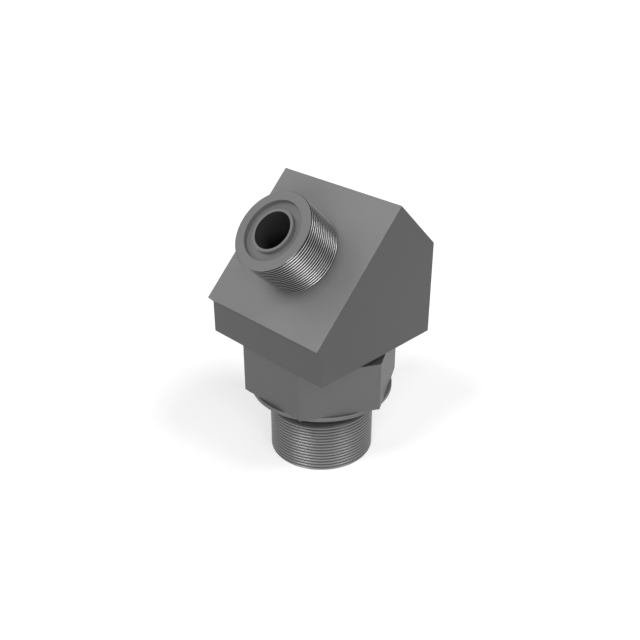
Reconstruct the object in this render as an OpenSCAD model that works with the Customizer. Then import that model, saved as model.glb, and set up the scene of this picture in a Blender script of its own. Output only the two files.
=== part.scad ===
// Block elbow adapter: a male face-seal end and an adjustable male stud end, joined by a
// body that is machined from square steel bar and turns the flow through 45 degrees.
// Millimetres. +Z runs up the stud, from its free end to the block, and the face-seal end
// leans towards -X. The origin is the centre of the stud's end face.

/* [Block] */
// Width across flats of the square bar
bar_w = 38.1; // [32:0.1:60]
// Angle between the two port axes
turn_angle = 45; // [30:1:50]
// Height of the point where the port axes cross, above the block's underside
cross_rise = 16.2; // [14:0.1:40]
// Distance from that point to the sloped face
face_reach = 10.2; // [9.5:0.1:30]

/* [Face-seal end] */
// Major diameter of the face-seal thread
seal_thread_d = 20.5; // [19:0.1:30]
// Length of the face-seal end, measured from the sloped face
seal_len = 12; // [6:0.1:30]
// Diameter of the bore
seal_bore_d = 9.5; // [5:0.1:10]
// Wall of the thin lip round the bore
lip_wall = 0.7; // [0.4:0.05:1]
// Width of the seal groove
groove_w = 2.25; // [1.2:0.05:2.6]
// Depth of the seal groove
groove_depth = 1.1; // [0.6:0.05:3]

/* [Stud end] */
// Major diameter of the stud thread
stud_thread_d = 27; // [25:0.1:30]
// Length of the thread that enters the port
port_thread_len = 13.9; // [8:0.1:30]
// Diameter of the bore
stud_bore_d = 15.5; // [10:0.1:18]
// Depth of the smooth neck below the thread crests
neck_depth = 1.75; // [1.2:0.05:2.5]
// Bevel where the port thread starts at the neck
neck_bevel = 0.7; // [0.2:0.05:1]
// Clear length of neck between the seal ring and the port thread
ring_room = 1.55; // [1.45:0.05:4]
// Bevel on the free ends of both threads
end_bevel = 0.05; // [0.05:0.05:0.5]

/* [Seal ring] */
// Section of the seal ring
ring_section = 2.95; // [2:0.05:4]

/* [Backup washer] */
// Outer diameter of the backup washer
washer_d = 36.6; // [33:0.1:50]
// Thickness of the backup washer
washer_t = 1.1; // [0.8:0.05:3]

/* [Locknut] */
// Width across flats of the locknut
nut_af = 35; // [33:0.1:50]
// Height of the locknut
nut_h = 12.9; // [8:0.1:20]
// Gap that the backed-off locknut leaves under the block
nut_gap = 1.4; // [1.4:0.05:6]
// Bevel at both ends of the locknut's bore
nut_bore_bevel = 0.8; // [0.3:0.05:1.2]

/* [Clearances] */
// Radial gap between the stud thread and the locknut
thread_gap = 0.15; // [0.1:0.01:0.3]
// Radial gap between the neck and the backup washer
washer_gap = 0.3; // [0.2:0.01:0.5]
// Gap between the seal ring and what it touches
ring_gap = 0.05; // [0.03:0.01:0.1]

/* [Hidden] */

$fn = 96;
cut = 0.5;
drill_point = 118;
steel = [0.43, 0.43, 0.44];
nut_steel = [0.40, 0.40, 0.41];
black_rubber = [0.09, 0.09, 0.09];

// Heights along the stud, stacked up from its free end
neck_bottom = port_thread_len;
ring_bottom = neck_bottom + ring_room;
washer_bottom = ring_bottom + ring_section;
nut_bottom = washer_bottom + washer_t;
nut_top = nut_bottom + nut_h;
block_bottom = nut_top + nut_gap;
cross_z = block_bottom + cross_rise;
// The neck runs on inside the locknut, so that the washer can rise with it
neck_top = nut_bottom + nut_gap;

// Radii
bar_r = bar_w / 2;
stud_r = stud_thread_d / 2;
neck_r = stud_r - neck_depth;
washer_bore_r = neck_r + washer_gap;
nut_bore_r = stud_r + thread_gap;
seal_r = seal_thread_d / 2;
seal_bore_r = seal_bore_d / 2;
lip_r = seal_bore_r + lip_wall;
groove_r = lip_r + groove_w;

// A mitred bar: both legs are bar_w wide, and their side faces meet on the mitre
mitre = bar_r * tan(turn_angle / 2);
seal_end = face_reach + seal_len;

// Moves what is drawn along +Z from the crossing point onto the sloped port's axis
module on_seal_axis() {
    translate([0, 0, cross_z]) rotate([0, -turn_angle, 0]) children();
}

// Round bar along +Z with a bevel at either end
module bevelled_bar(radius, low, high, low_bevel, high_bevel) {
    rotate_extrude() polygon([
        [0, low],
        [radius - low_bevel, low],
        [radius, low + low_bevel],
        [radius, high - high_bevel],
        [radius - high_bevel, high],
        [0, high]
    ]);
}

// Hole along +Z with a bevel at either end that opens it up to the faces
module bevelled_hole(radius, low, high, bevel) {
    rotate_extrude() polygon([
        [0, low - cut],
        [radius + bevel + cut, low - cut],
        [radius, low + bevel],
        [radius, high - bevel],
        [radius + bevel + cut, high + cut],
        [0, high + cut]
    ]);
}

// Side view of the block: the upright leg and the leaning leg of the mitred bar
module block_outline() {
    lean = [-sin(turn_angle), cos(turn_angle)];
    across = [cos(turn_angle), sin(turn_angle)];
    crossing = [0, cross_z];
    polygon([
        [-bar_r, block_bottom],
        [bar_r, block_bottom],
        [bar_r, cross_z + mitre],
        crossing + face_reach * lean + bar_r * across,
        crossing + face_reach * lean - bar_r * across,
        [-bar_r, cross_z - mitre]
    ]);
}

module block() {
    rotate([90, 0, 0]) linear_extrude(bar_w, center = true) block_outline();
}

// The whole stud: port thread, smooth neck for the seal ring and washer, locknut thread
module stud() {
    bevelled_bar(stud_r, 0, neck_bottom, end_bevel, neck_bevel);
    cylinder(r = neck_r, h = cross_z - mitre);
    translate([0, 0, neck_top]) cylinder(r = stud_r, h = block_bottom - neck_top + cut);
}

// The face-seal end, with the ring groove sunk in its flat end
module seal_spigot() {
    on_seal_axis() difference() {
        bevelled_bar(seal_r, 0, seal_end, 0, end_bevel);
        translate([0, 0, seal_end - groove_depth]) difference() {
            cylinder(r = groove_r, h = groove_depth + cut);
            cylinder(r = lip_r, h = groove_depth + cut);
        }
    }
}

// Two drilled passages that meet where the port axes cross
module passages() {
    point_h = stud_bore_d / 2 / tan(drill_point / 2);
    translate([0, 0, -cut]) cylinder(d = stud_bore_d, h = cross_z + cut);
    translate([0, 0, cross_z]) cylinder(d1 = stud_bore_d, d2 = 0, h = point_h);
    on_seal_axis() cylinder(d = seal_bore_d, h = seal_end + cut);
}

module elbow_body() {
    color(steel) difference() {
        union() {
            block();
            stud();
            seal_spigot();
        }
        passages();
    }
}

module locknut() {
    color(nut_steel) difference() {
        translate([0, 0, nut_bottom])
            rotate([0, 0, 30]) cylinder(d = nut_af / cos(30), h = nut_h, $fn = 6);
        bevelled_hole(nut_bore_r, nut_bottom, nut_top, nut_bore_bevel);
    }
}

module backup_washer() {
    color(nut_steel) translate([0, 0, washer_bottom]) difference() {
        cylinder(d = washer_d, h = washer_t);
        translate([0, 0, -cut]) cylinder(r = washer_bore_r, h = washer_t + 2 * cut);
    }
}

// A rubber ring that lies on the neck against the washer
module stud_seal_ring() {
    section_r = ring_section / 2 - ring_gap / 2;
    color(black_rubber) translate([0, 0, ring_bottom + ring_section / 2])
        rotate_extrude() translate([neck_r + ring_gap + section_r, 0]) circle(section_r, $fn = 48);
}

elbow_body();
locknut();
backup_washer();
stud_seal_ring();
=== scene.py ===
"""Surfaces, finishes and studio of a block elbow adapter for hydraulic lines.

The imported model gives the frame. Each class below makes one piece of the adapter in the way
that the shop does, gives it its finish and lets it ride on its body. All sizes are in metres.
"""
import logging
import math
from abc import ABC, abstractmethod
from dataclasses import dataclass, field
from enum import Enum

import bmesh
import bpy
from mathutils import Matrix, Vector


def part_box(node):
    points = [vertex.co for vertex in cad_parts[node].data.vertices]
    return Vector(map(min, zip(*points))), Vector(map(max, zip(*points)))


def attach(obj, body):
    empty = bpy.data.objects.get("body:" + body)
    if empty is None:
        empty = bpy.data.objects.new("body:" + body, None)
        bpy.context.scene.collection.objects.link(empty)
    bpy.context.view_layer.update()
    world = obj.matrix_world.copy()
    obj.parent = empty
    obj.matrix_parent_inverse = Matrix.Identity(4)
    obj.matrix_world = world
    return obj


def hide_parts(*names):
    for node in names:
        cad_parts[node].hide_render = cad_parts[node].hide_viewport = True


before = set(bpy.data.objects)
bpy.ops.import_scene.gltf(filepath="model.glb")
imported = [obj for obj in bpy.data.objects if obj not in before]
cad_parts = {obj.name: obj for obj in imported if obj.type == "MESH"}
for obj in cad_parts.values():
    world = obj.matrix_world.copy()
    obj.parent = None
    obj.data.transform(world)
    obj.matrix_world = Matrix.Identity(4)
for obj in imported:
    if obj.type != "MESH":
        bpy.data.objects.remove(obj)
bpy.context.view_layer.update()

LOG = logging.getLogger("elbow_adapter")

MM = 0.001
WELD = 0.001 * MM
FULL_TURN = 2 * math.pi

ROUND_STEPS = 144
EDGE_STEPS = 2
SHARP_ANGLE = math.radians(12)
WHITE = (1.0, 1.0, 1.0, 1.0)

# Least cosine between a direction and the normal of a face that looks that way
FACING = 0.99


class Body(Enum):
    """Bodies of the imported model."""

    ADAPTER = "body"
    SEAL_RING = "seal_ring"
    WASHER = "washer"
    LOCKNUT = "nut"


class Cut(Enum):
    """What a second form does to the workpiece."""

    JOIN = "UNION"
    REMOVE = "DIFFERENCE"


class Lay(Enum):
    """Direction of the marks that a tool leaves on metal."""

    DRAWN = "straight lines along the bar"
    TURNED = "rings about the axis of the lathe"


class NodeGraph:
    """Node tree of a material or of the world, filled node by node."""

    NOISE_LOW = 0.3
    NOISE_HIGH = 0.7

    def __init__(self, tree: bpy.types.NodeTree) -> None:
        """Empties the tree.

        Args:
            tree: Tree to fill.
        """
        self.tree = tree
        tree.nodes.clear()

    def add(self, kind: str, inputs: dict | None = None, **settings: object) -> bpy.types.Node:
        """Adds one node.

        Args:
            kind: Blender's name of the node's type.
            inputs: Values or output sockets by the name or number of the input socket.
            **settings: Properties of the node.

        Returns:
            The new node.
        """
        node = self.tree.nodes.new(kind)
        for name, value in settings.items():
            setattr(node, name, value)
        for key, value in (inputs or {}).items():
            socket = node.inputs[key]
            if isinstance(value, bpy.types.NodeSocket):
                self.tree.links.new(value, socket)
            else:
                socket.default_value = value
        return node

    def reckon(self, operation: str, *values: object) -> bpy.types.NodeSocket:
        """Adds a Math node.

        Args:
            operation: Name of the operation.
            *values: Numbers or output sockets, in order.

        Returns:
            The result's socket.
        """
        node = self.add("ShaderNodeMath", dict(enumerate(values)), operation=operation)
        return node.outputs[0]

    def ramp(
        self, value: bpy.types.NodeSocket, start: float, end: float, low: float, high: float,
    ) -> bpy.types.NodeSocket:
        """Maps one range onto another, and holds what lies outside at its ends.

        Args:
            value: Value to map.
            start: Value that gives the low result.
            end: Value that gives the high result.
            low: Result at the start.
            high: Result at the end.

        Returns:
            The result's socket.
        """
        inputs = {"Value": value, "From Min": start, "From Max": end, "To Min": low, "To Max": high}
        return self.add("ShaderNodeMapRange", inputs).outputs["Result"]

    def spread(self, value: bpy.types.NodeSocket, low: float, high: float) -> bpy.types.NodeSocket:
        """Maps the middle of a noise onto a range.

        Args:
            value: Noise between 0 and 1.
            low: Result where the noise is at NOISE_LOW or less.
            high: Result where the noise is at NOISE_HIGH or more.

        Returns:
            The result's socket.
        """
        return self.ramp(value, self.NOISE_LOW, self.NOISE_HIGH, low, high)

    def noise(
        self, coords: bpy.types.NodeSocket, size: float, detail: float, roughness: float = 0.5,
    ) -> bpy.types.NodeSocket:
        """Adds a noise.

        Args:
            coords: Coordinates that the noise is laid out in.
            size: Size of its coarsest spots.
            detail: Number of its finer layers.
            roughness: Strength of each finer layer against the one before.

        Returns:
            The noise, between 0 and 1.
        """
        inputs = {"Vector": coords, "Scale": 1 / size, "Detail": detail, "Roughness": roughness}
        return self.add("ShaderNodeTexNoise", inputs).outputs["Fac"]

    def surface(self, inputs: dict) -> None:
        """Adds the shader of a surface and the material's output.

        Args:
            inputs: Values or output sockets by the name of the shader's input.
        """
        shader = self.add("ShaderNodeBsdfPrincipled", inputs)
        self.add("ShaderNodeOutputMaterial", {"Surface": shader.outputs["BSDF"]})


def blank_material(name: str) -> tuple[bpy.types.Material, NodeGraph]:
    """Makes a material without nodes.

    Args:
        name: Name of the material.

    Returns:
        The material and its empty node tree.
    """
    material = bpy.data.materials.new(name)
    material.use_nodes = True
    return material, NodeGraph(material.node_tree)


@dataclass(frozen=True)
class SteelFinish:
    """Bare machined steel, dulled by a thin even film, with the marks of the tool that cut it.

    Attributes:
        name: Name of the material.
        grey: Middle of the base colour, as a linear level.
        roughness: Middle of the roughness.
        lay: Direction of the tool marks.
        feed: Distance from one tool mark to the next.
        depth: Depth of the tool marks.
        centre: Point that the axis of the marks goes through.
        tilt: Lean of that axis towards -X, in radians.
        metallic: Share of bare metal, which the film dulls.
        edge_tint: Share of the light that bare metal mirrors at a grazing angle.
    """

    name: str
    grey: float = 0.086
    roughness: float = 0.5
    lay: Lay = Lay.TURNED
    feed: float = 0.16 * MM
    depth: float = 0.002 * MM
    centre: tuple[float, float, float] = (0.0, 0.0, 0.0)
    tilt: float = 0.0
    metallic: float = 0.6
    edge_tint: float = 1.0

    PATCH = 14 * MM
    PATCH_DETAIL = 4.0
    PATCH_ROUGHNESS = 0.6
    PATCH_SHARE = 0.5
    GRAIN = 0.3 * MM
    GRAIN_DETAIL = 2.0
    GRAIN_RELIEF = 0.4
    TONE_SWING = 0.03
    ROUGHNESS_SWING = 0.04
    DRAWN_STRETCH = 60.0

    def radius(self, graph: NodeGraph, place: bpy.types.NodeSocket) -> bpy.types.NodeSocket:
        """Measures how far a point lies from the axis of the marks.

        Args:
            graph: Node tree of the material.
            place: Coordinates about that axis.

        Returns:
            The radius.
        """
        flat = graph.add("ShaderNodeVectorMath", {0: place, 1: (1.0, 1.0, 0.0)}, operation="MULTIPLY")
        length = graph.add("ShaderNodeVectorMath", {0: flat.outputs[0]}, operation="LENGTH")
        return length.outputs["Value"]

    def marks(self, graph: NodeGraph, place: bpy.types.NodeSocket) -> bpy.types.NodeSocket:
        """Builds the pattern of the tool marks.

        Args:
            graph: Node tree of the material.
            place: Coordinates about the axis of the marks.

        Returns:
            The height of the surface between 0 and 1.
        """
        if self.lay is Lay.DRAWN:
            across = 1 / self.feed
            scale = (across, across, across / self.DRAWN_STRETCH)
            stretched = graph.add("ShaderNodeVectorMath", {0: place, 1: scale}, operation="MULTIPLY")
            return graph.noise(stretched.outputs[0], size=1.0, detail=2.0)
        height = graph.add("ShaderNodeSeparateXYZ", {0: place}).outputs["Z"]
        travel = graph.reckon("ADD", self.radius(graph, place), height)
        turns = graph.reckon("DIVIDE", travel, self.feed)
        inputs = {"W": turns, "Scale": 1.0, "Detail": 1.0}
        return graph.add("ShaderNodeTexNoise", inputs, noise_dimensions="1D").outputs["Fac"]

    def tone(
        self, graph: NodeGraph, place: bpy.types.NodeSocket, patches: bpy.types.NodeSocket,
    ) -> bpy.types.NodeSocket:
        """Builds the base colour.

        Args:
            graph: Node tree of the material.
            place: Coordinates about the axis of the marks.
            patches: Noise in patches, where the film is thicker or thinner.

        Returns:
            The grey level.
        """
        swing = self.grey * self.TONE_SWING
        return graph.spread(patches, self.grey - swing, self.grey + swing)

    def material(self) -> bpy.types.Material:
        """Builds the material.

        Returns:
            The new material.
        """
        material, graph = blank_material(self.name)
        coords = graph.add("ShaderNodeTexCoord").outputs["Object"]
        turned = {"Vector": coords, "Location": self.centre, "Rotation": (0.0, -self.tilt, 0.0)}
        place = graph.add("ShaderNodeMapping", turned, vector_type="TEXTURE").outputs["Vector"]

        patches = graph.noise(coords, self.PATCH, self.PATCH_DETAIL, self.PATCH_ROUGHNESS)
        grains = graph.noise(coords, self.GRAIN, self.GRAIN_DETAIL)
        marks = self.marks(graph, place)

        patch_part = graph.reckon("MULTIPLY", patches, self.PATCH_SHARE)
        grain_part = graph.reckon("MULTIPLY", grains, 1 - self.PATCH_SHARE)
        mixed = graph.reckon("ADD", patch_part, grain_part)
        least, most = self.roughness - self.ROUGHNESS_SWING, self.roughness + self.ROUGHNESS_SWING
        relief = graph.reckon("ADD", marks, graph.reckon("MULTIPLY", grains, self.GRAIN_RELIEF))
        bump = graph.add("ShaderNodeBump", {"Height": relief, "Distance": self.depth, "Strength": 1.0})
        graph.surface({
            "Base Color": self.tone(graph, place, patches),
            "Metallic": self.metallic,
            "Specular Tint": (self.edge_tint,) * 3 + (1.0,),
            "Roughness": graph.spread(mixed, least, most),
            "Normal": bump.outputs["Normal"],
        })
        return material


@dataclass(frozen=True)
class DrawnFinish(SteelFinish):
    """Skin of drawn bar, with fine straight lines along it."""

    lay: Lay = Lay.DRAWN
    feed: float = 0.35 * MM
    depth: float = 0.0015 * MM


@dataclass(frozen=True)
class ThreadFinish(SteelFinish):
    """Steel of a cut thread, whose roots are darkened by painted shade so that the crests stand out as
    bright lines.

    Attributes:
        crest_radius: Radius above which the steel keeps its full grey, clear of the painted shade.
        root_radius: Radius below which the painted shade is darkest.
        root_share: Share of the base colour that the painted shade leaves there.
    """

    grey: float = 0.161
    roughness: float = 0.35
    crest_radius: float = 1.0
    root_radius: float = 0.0
    root_share: float = 0.25

    def tone(
        self, graph: NodeGraph, place: bpy.types.NodeSocket, patches: bpy.types.NodeSocket,
    ) -> bpy.types.NodeSocket:
        """Builds the base colour, with painted shade that darkens it towards the roots.

        Args:
            graph: Node tree of the material.
            place: Coordinates about the axis of the thread.
            patches: Noise in patches, where the film is thicker or thinner.

        Returns:
            The grey level.
        """
        radius = self.radius(graph, place)
        # Painted shade: the grey falls from the crests to the roots, in place of the shade between the
        # ridges.
        share = graph.ramp(radius, self.root_radius, self.crest_radius, self.root_share, 1.0)
        return graph.reckon("MULTIPLY", super().tone(graph, place, patches), share)


@dataclass(frozen=True)
class RubberFinish:
    """Black moulded rubber with a dull bloom.

    Attributes:
        name: Name of the material.
        grey: Middle of the base colour, as a linear level.
        roughness: Middle of the roughness.
        grain: Size of the moulded grain.
    """

    name: str = "seal rubber"
    grey: float = 0.018
    roughness: float = 0.55
    grain: float = 0.12 * MM

    BLOOM = 3 * MM
    BLOOM_DETAIL = 3.0
    DARKEST = 0.85
    PALEST = 1.3
    ROUGHNESS_SWING = 0.07
    GRAIN_DETAIL = 1.0
    GRAIN_DEPTH = 0.003 * MM

    def material(self) -> bpy.types.Material:
        """Builds the material.

        Returns:
            The new material.
        """
        material, graph = blank_material(self.name)
        coords = graph.add("ShaderNodeTexCoord").outputs["Object"]
        blooms = graph.noise(coords, self.BLOOM, self.BLOOM_DETAIL)
        grains = graph.noise(coords, self.grain, self.GRAIN_DETAIL)
        relief = {"Height": grains, "Distance": self.GRAIN_DEPTH, "Strength": 1.0}
        bump = graph.add("ShaderNodeBump", relief)
        least, most = self.roughness - self.ROUGHNESS_SWING, self.roughness + self.ROUGHNESS_SWING
        graph.surface({
            "Base Color": graph.spread(blooms, self.grey * self.DARKEST, self.grey * self.PALEST),
            "Roughness": graph.spread(blooms, least, most),
            "Normal": bump.outputs["Normal"],
        })
        return material


def place_object(name: str, data: bpy.types.ID) -> bpy.types.Object:
    """Adds an object to the scene.

    Args:
        name: Name of the object.
        data: Its mesh, light or camera.

    Returns:
        The object.
    """
    placed = bpy.data.objects.new(name, data)
    bpy.context.scene.collection.objects.link(placed)
    return placed


def stock(name: str, bm: bmesh.types.BMesh, *finishes: SteelFinish | RubberFinish) -> bpy.types.Object:
    """Makes an object of a finished form.

    Args:
        name: Name of the object.
        bm: Closed form, which is used up.
        *finishes: Finishes, in the order of the form's material numbers.

    Returns:
        The object, linked to the scene.
    """
    bmesh.ops.recalc_face_normals(bm, faces=bm.faces[:])
    mesh = bpy.data.meshes.new(name)
    bm.to_mesh(mesh)
    bm.free()
    for finish in finishes:
        mesh.materials.append(bpy.data.materials.get(finish.name) or finish.material())
    return place_object(name, mesh)


def turn(profile: list[tuple[float, float]], ring: bool = False) -> bmesh.types.BMesh:
    """Turns a profile about the Z axis.

    Args:
        profile: Points as radius and height. A solid one starts and ends on the axis.
        ring: Whether the profile is closed and clear of the axis.

    Returns:
        The closed form.
    """
    bm = bmesh.new()
    points = [bm.verts.new((radius, 0.0, height)) for radius, height in profile]
    following = points[1:] + points[:1] if ring else points[1:]
    edges = [bm.edges.new(pair) for pair in zip(points, following)]
    bmesh.ops.spin(
        bm, geom=points + edges, cent=(0, 0, 0), axis=(0, 0, 1), dvec=(0, 0, 0),
        angle=FULL_TURN, steps=ROUND_STEPS, use_merge=True,
    )
    bmesh.ops.remove_doubles(bm, verts=bm.verts[:], dist=WELD)
    return bm


def draw_out(bm: bmesh.types.BMesh, way: tuple[float, float, float]) -> None:
    """Draws a flat outline out to a closed bar.

    Args:
        bm: Form with the outline as its only face, which is changed.
        way: Direction and length of the bar.
    """
    drawn = bmesh.ops.extrude_face_region(bm, geom=bm.faces[:])["geom"]
    moved = [item for item in drawn if isinstance(item, bmesh.types.BMVert)]
    bmesh.ops.translate(bm, verts=moved, vec=way)
    bmesh.ops.recalc_face_normals(bm, faces=bm.faces[:])


def break_edges(
    bm: bmesh.types.BMesh, edges: list[bmesh.types.BMEdge], width: float, steps: int = EDGE_STEPS,
) -> None:
    """Breaks or rounds edges.

    Args:
        bm: Form, which is changed.
        edges: Edges to break.
        width: Width of the bevel.
        steps: Number of faces across it.
    """
    bmesh.ops.bevel(
        bm, geom=edges, offset=width, offset_type="OFFSET", affect="EDGES",
        segments=steps, profile=0.5, material=-1, clamp_overlap=True,
    )


def machine(work: bpy.types.Object, tool: bpy.types.Object, cut: Cut) -> None:
    """Joins a form to a workpiece, or takes it out of the workpiece, and discards the form.

    Args:
        work: Workpiece, whose mesh is replaced.
        tool: Form that is joined or cut out.
        cut: What to do.
    """
    step = work.modifiers.new("machining", "BOOLEAN")
    step.solver = "MANIFOLD"
    step.object = tool
    step.operation = cut.value
    step.material_mode = "TRANSFER"
    depsgraph = bpy.context.evaluated_depsgraph_get()
    made = bpy.data.meshes.new_from_object(work.evaluated_get(depsgraph), depsgraph=depsgraph)
    spent = [work.data, tool.data]
    work.modifiers.clear()
    work.data = made
    bpy.data.objects.remove(tool)
    for mesh in spent:
        bpy.data.meshes.remove(mesh)


def smooth(piece: bpy.types.Object) -> None:
    """Shades round surfaces smoothly and keeps flat ones flat.

    Args:
        piece: Finished piece.
    """
    piece.data.shade_smooth()
    piece.data.set_sharp_from_angle(angle=SHARP_ANGLE)


@dataclass
class Thread:
    """Shallow right-hand thread with flat crests, on a bar that stands on the Z axis.

    Attributes:
        radius: Radius over the crests.
        pitch: Height of one turn.
        depth: Depth from crest to root. The flanks lean by 45 degrees.
        low: Lower end of the bar.
        high: Upper end of the bar.
        crest: Height of the middle of any one crest on the +X side.
        low_bevel: How far the radius is turned down at the lower end.
        high_bevel: How far the radius is turned down at the upper end.
    """

    radius: float
    pitch: float
    depth: float
    low: float
    high: float
    crest: float
    low_bevel: float = 0.0
    high_bevel: float = 0.0

    SPARE_BELOW = 2
    SPARE_ABOVE = 1
    END_FINISH = 1

    def profile(self) -> list[tuple[float, float]]:
        """Gives the profile of one pitch: a flat crest, a flank, a flat root and a flank.

        Returns:
            Height above the middle of a crest and depth below the crests, for each corner.
        """
        crest_edge = (self.pitch / 2 - self.depth) / 2
        root_edge = crest_edge + self.depth
        return [
            (crest_edge, 0.0),
            (root_edge, self.depth),
            (self.pitch - root_edge, self.depth),
            (self.pitch - crest_edge, 0.0),
        ]

    def form(self) -> bmesh.types.BMesh:
        """Winds the thread and trims it to its ends.

        Returns:
            The closed form.
        """
        bm = bmesh.new()
        turns_below = math.ceil((self.crest - self.low) / self.pitch) + self.SPARE_BELOW
        start = self.crest - turns_below * self.pitch
        turns = math.ceil((self.high - start) / self.pitch) + self.SPARE_ABOVE
        line = []
        for turn_number in range(turns):
            foot = start + turn_number * self.pitch
            for height, fall in self.profile():
                line.append(bm.verts.new((self.radius - fall, 0.0, foot + height)))
        edges = [bm.edges.new(pair) for pair in zip(line, line[1:])]
        bmesh.ops.spin(
            bm, geom=line + edges, cent=(0, 0, 0), axis=(0, 0, 1),
            dvec=(0, 0, self.pitch / ROUND_STEPS), angle=FULL_TURN, steps=ROUND_STEPS, use_merge=False,
        )
        bmesh.ops.remove_doubles(bm, verts=bm.verts[:], dist=WELD)
        self.trim(bm)
        return bm

    def trim(self, bm: bmesh.types.BMesh) -> None:
        """Cuts the wound surface off square, turns its ends down and closes them.

        The flat ends take the second finish.

        Args:
            bm: Wound surface, which is changed.
        """
        for height, outward in ((self.low, -1.0), (self.high, 1.0)):
            geometry = bm.verts[:] + bm.edges[:] + bm.faces[:]
            bmesh.ops.bisect_plane(
                bm, geom=geometry, dist=0.0, plane_co=(0, 0, height), plane_no=(0, 0, outward),
                clear_outer=True,
            )
        for vert in bm.verts:
            limits = [math.hypot(vert.co.x, vert.co.y)]
            if self.low_bevel:
                limits.append(self.radius - self.low_bevel + vert.co.z - self.low)
            if self.high_bevel:
                limits.append(self.radius - self.high_bevel + self.high - vert.co.z)
            share = min(limits) / limits[0]
            vert.co.x *= share
            vert.co.y *= share
        rims = [edge for edge in bm.edges if edge.is_boundary]
        for end in bmesh.ops.holes_fill(bm, edges=rims, sides=0)["faces"]:
            end.material_index = self.END_FINISH


class Piece(ABC):
    """One piece of the adapter, as it lies on a bench."""

    node: str
    body: Body
    slot: str

    @abstractmethod
    def form(self) -> bpy.types.Object:
        """Makes the dressed piece in its place.

        Returns:
            The finished object.
        """

    def make(self) -> bpy.types.Object:
        """Makes the piece, shades it and lets it stand for its node.

        Returns:
            The finished object.
        """
        piece = self.form()
        smooth(piece)
        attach(piece, self.body.value)
        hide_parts(self.node)
        LOG.info("%s: %d faces on %s", piece.name, len(piece.data.polygons), self.body.value)
        return piece


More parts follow.
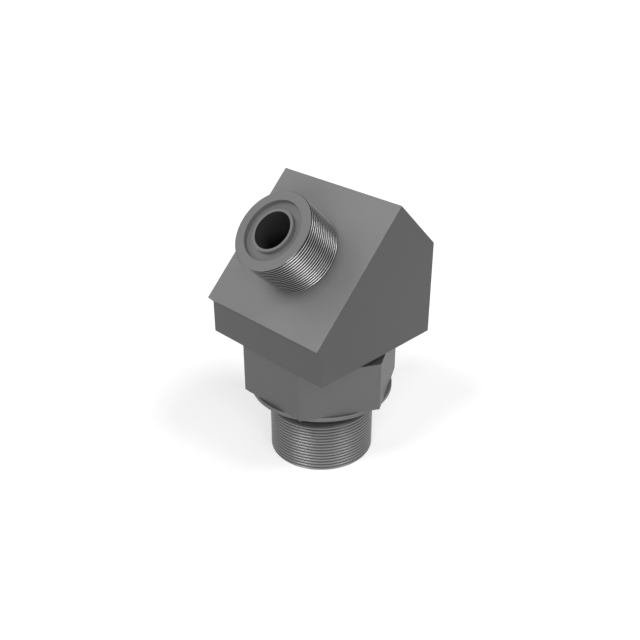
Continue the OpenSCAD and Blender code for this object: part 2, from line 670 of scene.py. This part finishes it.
@dataclass
class ElbowBody(Piece):
    """Body milled and turned from square bar: block, face-seal end, stud and two passages.

    Attributes:
        bar_width: Width across flats of the bar.
        turn_angle: Angle between the two port axes.
        block_bottom: Height of the block's underside.
        crossing: Height where the port axes cross.
        face_reach: Distance from the crossing to the sloped face.
        edge_break: Width of the broken edges on the block.
        seal_end: Distance from the crossing to the face-seal end.
        seal_radius: Crest radius of the face-seal thread.
        seal_pitch: Pitch of the face-seal thread.
        seal_depth: Depth of the face-seal thread.
        seal_crest: Distance from the crossing to a crest on the upper side.
        seal_bore: Radius of the bore in the face-seal end.
        lip_wall: Wall of the lip round that bore.
        groove_width: Width of the seal groove.
        groove_depth: Depth of the seal groove.
        stud_radius: Crest radius of the stud thread.
        stud_pitch: Pitch of the stud thread.
        stud_depth: Depth of the stud thread.
        stud_crest: Height of a crest on the +X side.
        stud_bore: Radius of the bore in the stud.
        port_top: Height where the port thread ends at the neck.
        neck_radius: Radius of the smooth neck.
        neck_top: Height where the locknut's thread starts.
        end_bevel: Bevel on the free ends of both threads.
        neck_bevel: Bevel of the port thread at the neck.
        mouth_break: Broken edge at the mouths of the bores.
        point_angle: Point angle of the drill.
    """

    bar_width: float = 38.1 * MM
    turn_angle: float = math.radians(45)
    block_bottom: float = 33.8 * MM
    crossing: float = 50 * MM
    face_reach: float = 10.2 * MM
    edge_break: float = 0.05 * MM
    seal_end: float = 22.2 * MM
    seal_radius: float = 10.25 * MM
    seal_pitch: float = 0.775 * MM
    seal_depth: float = 0.25 * MM
    seal_crest: float = 21.7 * MM
    seal_bore: float = 4.75 * MM
    lip_wall: float = 0.7 * MM
    groove_width: float = 2.25 * MM
    groove_depth: float = 1.1 * MM
    stud_radius: float = 13.5 * MM
    stud_pitch: float = 0.9 * MM
    stud_depth: float = 0.2 * MM
    stud_crest: float = 0.6 * MM
    stud_bore: float = 7.75 * MM
    port_top: float = 13.9 * MM
    neck_radius: float = 11.75 * MM
    neck_top: float = 20.9 * MM
    end_bevel: float = 0.05 * MM
    neck_bevel: float = 0.7 * MM
    mouth_break: float = 0.05 * MM
    point_angle: float = math.radians(118)

    node = "elbow_body"
    body = Body.ADAPTER
    slot = "body_steel"

    SUNK = 0.5 * MM
    CLEAR = 1.0 * MM
    # Near-black grey of both bores: painted shade inside the drilled passages
    BORE_SHADE_GREY = 0.03

    # Where the face mill's axis runs, from the crossing: up the slope and to the side
    MILL_ACROSS = 45 * MM
    MILL_ASIDE = 20 * MM

    # Shares of the face-seal thread's depth where the painted shade starts below the crests and where
    # it is darkest in the roots
    CREST_SHARE = 0.05
    ROOT_SHARE = 0.4

    def __post_init__(self) -> None:
        """Works out the directions of the leaning port and sets the finishes."""
        angle = self.turn_angle
        self.lean = Vector((-math.sin(angle), 0, math.cos(angle)))
        self.across = Vector((math.cos(angle), 0, math.sin(angle)))
        self.centre = Vector((0, 0, self.crossing))
        self.onto_lean = Matrix.Translation(self.centre) @ Matrix.Rotation(-angle, 4, "Y")
        # The milled faces get over twice the drawn sides' grey. Part of this is their own machined
        # finish, and part is painted light that makes the upward slope lighter than the upright sides.
        self.bar = DrawnFinish("drawn bar", grey=0.068)
        mill_centre = self.centre + self.MILL_ACROSS * self.across + Vector((0, self.MILL_ASIDE, 0))
        self.milled = SteelFinish(
            "milled face", grey=0.152, feed=0.3 * MM, centre=tuple(mill_centre), tilt=angle,
        )
        self.turned_stud = SteelFinish("turned stud")
        seal_axis = {"centre": tuple(self.centre), "tilt": angle}
        # The turned seal end is lighter than the turned stud: painted light on its end face, which
        # looks up the slope like the milled face.
        self.turned_seal = SteelFinish("turned seal end", grey=0.131, **seal_axis)
        self.drilled_stud = SteelFinish("drilled stud bore", grey=self.BORE_SHADE_GREY)
        self.drilled_seal = SteelFinish("drilled seal bore", grey=self.BORE_SHADE_GREY, **seal_axis)
        # Both threads carry painted shade in their roots. The seal thread's high grey over near-black
        # roots also paints its crests as bright highlight lines.
        self.stud_thread = ThreadFinish(
            "cut stud thread", crest_radius=self.stud_radius,
            root_radius=self.stud_radius - self.stud_depth,
        )
        self.seal_thread = ThreadFinish(
            "cut seal thread", grey=0.245, roughness=0.32, metallic=1.0, edge_tint=0.3, root_share=0.04,
            crest_radius=self.seal_radius - self.CREST_SHARE * self.seal_depth,
            root_radius=self.seal_radius - self.ROOT_SHARE * self.seal_depth, **seal_axis,
        )

    def block(self) -> bpy.types.Object:
        """Saws and mills the block from the bar.

        Returns:
            The block with its edges broken.
        """
        half = self.bar_width / 2
        mitre = half * math.tan(self.turn_angle / 2)
        face_centre = self.centre + self.face_reach * self.lean
        side = Vector((0, -half, 0))
        corners = [
            Vector((-half, 0, self.block_bottom)),
            Vector((half, 0, self.block_bottom)),
            Vector((half, 0, self.crossing + mitre)),
            face_centre + half * self.across,
            face_centre - half * self.across,
            Vector((-half, 0, self.crossing - mitre)),
        ]
        bm = bmesh.new()
        outline = [bm.verts.new(corner + side) for corner in corners]
        bmesh.ops.contextual_create(bm, geom=outline)
        draw_out(bm, (0, self.bar_width, 0))
        cut_across = (self.lean, Vector((0, 0, -1)))
        for surface in bm.faces:
            surface.material_index = int(any(surface.normal.dot(way) > FACING for way in cut_across))
        break_edges(bm, bm.edges[:], self.edge_break)
        return stock(self.node + "_form", bm, self.bar, self.milled)

    def threads(self) -> list[bpy.types.Object]:
        """Turns the three threaded lengths and the neck.

        Returns:
            The forms to join to the block.
        """
        seal = Thread(
            self.seal_radius, self.seal_pitch, self.seal_depth, self.face_reach - self.SUNK,
            self.seal_end, self.seal_crest, high_bevel=self.end_bevel,
        ).form()
        bmesh.ops.transform(seal, matrix=self.onto_lean, verts=seal.verts[:])
        port = Thread(
            self.stud_radius, self.stud_pitch, self.stud_depth, 0.0, self.port_top,
            self.stud_crest, low_bevel=self.end_bevel, high_bevel=self.neck_bevel,
        ).form()
        nut = Thread(
            self.stud_radius, self.stud_pitch, self.stud_depth, self.neck_top,
            self.block_bottom + self.SUNK, self.stud_crest, low_bevel=self.end_bevel,
        ).form()
        neck = turn([
            (0, self.port_top - self.CLEAR),
            (self.neck_radius, self.port_top - self.CLEAR),
            (self.neck_radius, self.neck_top + self.CLEAR),
            (0, self.neck_top + self.CLEAR),
        ])
        return [
            stock("seal_thread", seal, self.seal_thread, self.turned_seal),
            stock("port_thread", port, self.stud_thread, self.turned_stud),
            stock("locknut_thread", nut, self.stud_thread, self.turned_stud),
            stock("neck", neck, self.turned_stud),
        ]

    def passages(self) -> list[bpy.types.Object]:
        """Forms the two drills and the tool for the face groove.

        Returns:
            The forms to take out of the workpiece.
        """
        flare = self.mouth_break + self.CLEAR
        half_break = self.mouth_break / 2
        point = self.stud_bore / math.tan(self.point_angle / 2)
        stud_drill = turn([
            (0, -self.CLEAR),
            (self.stud_bore + flare, -self.CLEAR),
            (self.stud_bore, self.mouth_break),
            (self.stud_bore, self.crossing),
            (0, self.crossing + point),
        ])
        seal_drill = turn([
            (0, 0),
            (self.seal_bore, 0),
            (self.seal_bore, self.seal_end - half_break),
            (self.seal_bore + flare - half_break, self.seal_end + self.CLEAR),
            (0, self.seal_end + self.CLEAR),
        ])
        groove_inner = self.seal_bore + self.lip_wall
        groove_outer = groove_inner + self.groove_width
        groove_tool = turn([
            (groove_inner, self.seal_end - self.groove_depth),
            (groove_outer, self.seal_end - self.groove_depth),
            (groove_outer, self.seal_end + self.CLEAR),
            (groove_inner, self.seal_end + self.CLEAR),
        ], ring=True)
        for bm in (seal_drill, groove_tool):
            bmesh.ops.transform(bm, matrix=self.onto_lean, verts=bm.verts[:])
        return [
            stock("stud_drill", stud_drill, self.drilled_stud),
            stock("seal_drill", seal_drill, self.drilled_seal),
            stock("groove_tool", groove_tool, self.turned_seal),
        ]

    def form(self) -> bpy.types.Object:
        """Joins the turned lengths to the block and cuts the passages.

        Returns:
            The finished body.
        """
        work = self.block()
        for length in self.threads():
            machine(work, length, Cut.JOIN)
        for tool in self.passages():
            machine(work, tool, Cut.REMOVE)
        return work


@dataclass
class Locknut(Piece):
    """Hexagon nut that is backed off to just under the block.

    Attributes:
        across_flats: Width across flats.
        bore: Radius of the threaded bore over its crests.
        pitch: Pitch of the thread.
        thread_depth: Depth of the thread.
        bore_bevel: Bevel at both ends of the bore.
        edge_break: Width of the broken edges.
    """

    across_flats: float = 35 * MM
    bore: float = 13.65 * MM
    pitch: float = 0.9 * MM
    thread_depth: float = 0.2 * MM
    bore_bevel: float = 0.8 * MM
    edge_break: float = 0.05 * MM

    node = "locknut"
    body = Body.LOCKNUT
    slot = "nut_steel"

    SIDES = 6
    CLEAR = 0.5 * MM

    def form(self) -> bpy.types.Object:
        """Cuts the nut off hexagon bar, bores, bevels and taps it.

        Returns:
            The finished nut.
        """
        bottom, top = (corner.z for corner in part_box(self.node))
        bm = bmesh.new()
        corner_radius = self.across_flats / 2 / math.cos(math.pi / self.SIDES)
        bmesh.ops.create_circle(
            bm, cap_ends=True, segments=self.SIDES, radius=corner_radius,
            matrix=Matrix.Translation((0, 0, bottom)),
        )
        draw_out(bm, (0, 0, top - bottom))
        for surface in bm.faces:
            surface.material_index = int(abs(surface.normal.z) > FACING)
        break_edges(bm, bm.edges[:], self.edge_break)
        flats = DrawnFinish("hexagon bar", grey=0.085)
        ends = SteelFinish("turned nut")
        nut = stock(self.node + "_form", bm, flats, ends)
        tap = Thread(
            self.bore + self.thread_depth, self.pitch, self.thread_depth, bottom - self.CLEAR,
            top + self.CLEAR, bottom,
        )
        machine(nut, stock("tap", tap.form(), ends, ends), Cut.REMOVE)
        mouth = self.bore + self.bore_bevel
        for face, inward in ((bottom, 1), (top, -1)):
            sink = turn([
                (0, face - inward * self.CLEAR),
                (mouth + self.CLEAR, face - inward * self.CLEAR),
                (self.bore - self.CLEAR, face + inward * (self.bore_bevel + self.CLEAR)),
                (0, face + inward * (self.bore_bevel + self.CLEAR)),
            ])
            machine(nut, stock("countersink", sink, ends), Cut.REMOVE)
        return nut


@dataclass
class BackupWasher(Piece):
    """Thin flat washer that is held on the neck under the locknut.

    Attributes:
        bore: Radius of the bore.
        edge_radius: Rounding that blanking leaves on the edges.
    """

    bore: float = 12.05 * MM
    edge_radius: float = 0.15 * MM

    node = "backup_washer"
    body = Body.WASHER
    slot = "washer_steel"

    CORNER_ANGLE = math.radians(45)
    ROUNDING_STEPS = 3

    def form(self) -> bpy.types.Object:
        """Blanks the washer and rounds its edges.

        Returns:
            The finished washer.
        """
        low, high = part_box(self.node)
        section = [(self.bore, low.z), (high.x, low.z), (high.x, high.z), (self.bore, high.z)]
        bm = turn(section, ring=True)
        rims = [edge for edge in bm.edges if abs(edge.verts[0].co.z - edge.verts[1].co.z) < WELD]
        corners = [edge for edge in rims if edge.calc_face_angle() > self.CORNER_ANGLE]
        break_edges(bm, corners, self.edge_radius, self.ROUNDING_STEPS)
        return stock(self.node + "_form", bm, SteelFinish("washer steel", grey=0.104))


@dataclass
class StudSealRing(Piece):
    """Rubber ring that lies on the neck against the washer.

    Attributes:
        flash: How far the line of the mould stands out.
    """

    flash: float = 0.03 * MM

    node = "stud_seal_ring"
    body = Body.SEAL_RING
    slot = "seal_rubber"

    SECTION_STEPS = 36

    def form(self) -> bpy.types.Object:
        """Moulds the ring, with the line where the mould's halves met.

        Returns:
            The finished ring.
        """
        low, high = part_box(self.node)
        section = (high.z - low.z) / 2
        centre = Vector((high.x - section, 0, (low.z + high.z) / 2))
        bm = bmesh.new()
        upright = Matrix.Translation(centre) @ Matrix.Rotation(math.pi / 2, 4, "X")
        bmesh.ops.create_circle(
            bm, segments=self.SECTION_STEPS, radius=section - self.flash, matrix=upright,
        )
        for vert in bm.verts:
            if abs(vert.co.z - centre.z) < WELD:
                vert.co.x += math.copysign(self.flash, vert.co.x - centre.x)
        bmesh.ops.spin(
            bm, geom=bm.verts[:] + bm.edges[:], cent=(0, 0, 0), axis=(0, 0, 1), dvec=(0, 0, 0),
            angle=FULL_TURN, steps=ROUND_STEPS, use_merge=True,
        )
        return stock(self.node + "_form", bm, RubberFinish())


@dataclass(frozen=True)
class Lamp:
    """Large soft lamp, far enough away to light evenly.

    Attributes:
        name: Name of the lamp.
        azimuth: Direction that it stands in, in degrees from +X towards +Y.
        elevation: Height above the horizon, in degrees.
        strength: Light that it throws on a surface square to it.
        spread: Angle that it fills, in degrees.
    """

    name: str
    azimuth: float
    elevation: float
    strength: float
    spread: float

    def hang(self) -> None:
        """Adds the lamp to the scene."""
        light = bpy.data.lights.new(self.name, "SUN")
        light.energy = self.strength
        light.angle = math.radians(self.spread)
        lamp = place_object(self.name, light)
        lamp.matrix_world = facing(direction(self.azimuth, self.elevation))


def direction(azimuth: float, elevation: float) -> Vector:
    """Gives a direction by its angles.

    Args:
        azimuth: Degrees from +X towards +Y.
        elevation: Degrees above the horizon.

    Returns:
        The unit vector.
    """
    turned, raised = math.radians(azimuth), math.radians(elevation)
    return Vector((
        math.cos(turned) * math.cos(raised),
        math.sin(turned) * math.cos(raised),
        math.sin(raised),
    ))


def facing(back: Vector) -> Matrix:
    """Turns a lamp or the camera to look against a direction.

    Args:
        back: Direction from what it looks at to itself.

    Returns:
        The rotation.
    """
    return back.to_track_quat("Z", "Y").to_matrix().to_4x4()


@dataclass
class Studio:
    """Pale floor, soft light and camera.

    Attributes:
        lamps: Lamps of the studio.
        floor_radius: Radius of the floor.
        floor_grey: Base colour of the floor, as a linear level.
        floor_glow: Light that the floor adds for the camera and for reflections.
        sky: Strength of the even light from all round.
        camera_azimuth: Direction of the camera, in degrees from +X towards +Y.
        camera_elevation: Height of the camera above the horizon, in degrees.
        camera_distance: Distance from the camera to the plane through its target.
        camera_right: How far the camera stands to the right of its target.
        camera_up: How far the camera stands above its target.
        target_height: Height of the target on the axis of the stud.
        lens: Focal length, in millimetres.
    """

    lamps: tuple[Lamp, ...] = field(default_factory=lambda: (
        Lamp("left key", 174, 53, 1.23, 22),
        Lamp("front fill", 212, 8, 2.8, 30),
        Lamp("right fill", 245, 20, 1.0, 30),
        Lamp("low right fill", 262, 8, 0.58, 30),
        Lamp("right key", 276, 42, 0.3, 22),
        Lamp("right top lamp", 292, 58, 1.1, 22),
        Lamp("back fill", 45, 20, 1.0, 90),
    ))
    floor_radius: float = 6.0
    floor_grey: float = 0.8
    floor_glow: float = 0.25
    sky: float = 0.1
    camera_azimuth: float = 225.0
    camera_elevation: float = 28.374
    camera_distance: float = 214.64 * MM
    camera_right: float = -0.4 * MM
    camera_up: float = 2.64 * MM
    target_height: float = 33.8 * MM
    lens: float = 47.644

    FLOOR_STEPS = 64
    FLOOR_ROUGHNESS = 0.9

    def seen(self, graph: NodeGraph) -> bpy.types.NodeSocket:
        """Picks out the rays that show the background.

        Args:
            graph: Node tree that needs the mask.

        Returns:
            1 for camera, glossy and transmission rays, and 0 for others.
        """
        rays = graph.add("ShaderNodeLightPath").outputs
        mirrored = graph.reckon("MAXIMUM", rays["Is Glossy Ray"], rays["Is Transmission Ray"])
        return graph.reckon("MAXIMUM", rays["Is Camera Ray"], mirrored)

    def lay_floor(self) -> None:
        """Lays the pale floor, which keeps the adapter's shadow."""
        bm = bmesh.new()
        bmesh.ops.create_circle(bm, cap_ends=True, segments=self.FLOOR_STEPS, radius=self.floor_radius)
        material, graph = blank_material("floor paper")
        graph.surface({
            "Base Color": (self.floor_grey,) * 3 + (1.0,),
            "Roughness": self.FLOOR_ROUGHNESS,
            "Specular IOR Level": 0.0,
            "Emission Color": WHITE,
            "Emission Strength": graph.reckon("MULTIPLY", self.seen(graph), self.floor_glow),
        })
        mesh = bpy.data.meshes.new("floor")
        bm.to_mesh(mesh)
        bm.free()
        mesh.materials.append(material)
        place_object("floor", mesh)

    def light_world(self) -> None:
        """Lights the scene evenly, with a white background where it is seen."""
        world = bpy.data.worlds.new("studio")
        world.use_nodes = True
        bpy.context.scene.world = world
        graph = NodeGraph(world.node_tree)
        light = graph.add("ShaderNodeBackground", {"Color": WHITE, "Strength": self.sky})
        white = graph.add("ShaderNodeBackground", {"Color": WHITE, "Strength": 1.0})
        inputs = {0: self.seen(graph), 1: light.outputs[0], 2: white.outputs[0]}
        mixed = graph.add("ShaderNodeMixShader", inputs)
        graph.add("ShaderNodeOutputWorld", {"Surface": mixed.outputs[0]})

    def place_camera(self) -> None:
        """Sets the camera at the angle of the photograph."""
        lens = bpy.data.cameras.new("camera")
        lens.lens = self.lens
        camera = place_object("camera", lens)
        back = direction(self.camera_azimuth, self.camera_elevation)
        right = Vector((0, 0, 1)).cross(back).normalized()
        up = back.cross(right)
        spot = self.camera_distance * back + self.camera_right * right + self.camera_up * up
        spot.z += self.target_height
        camera.matrix_world = Matrix.Translation(spot) @ facing(back)
        bpy.context.scene.camera = camera

    def set_up(self) -> None:
        """Builds the whole studio."""
        bpy.context.scene.view_settings.view_transform = "Standard"
        self.lay_floor()
        self.light_world()
        self.place_camera()
        for lamp in self.lamps:
            lamp.hang()


def main() -> None:
    """Builds the studio and every piece of the adapter."""
    logging.basicConfig(level=logging.INFO, format="%(message)s")
    Studio().set_up()
    for piece in (ElbowBody(), Locknut(), BackupWasher(), StudSealRing()):
        piece.make()


if __name__ == "__main__":
    main()
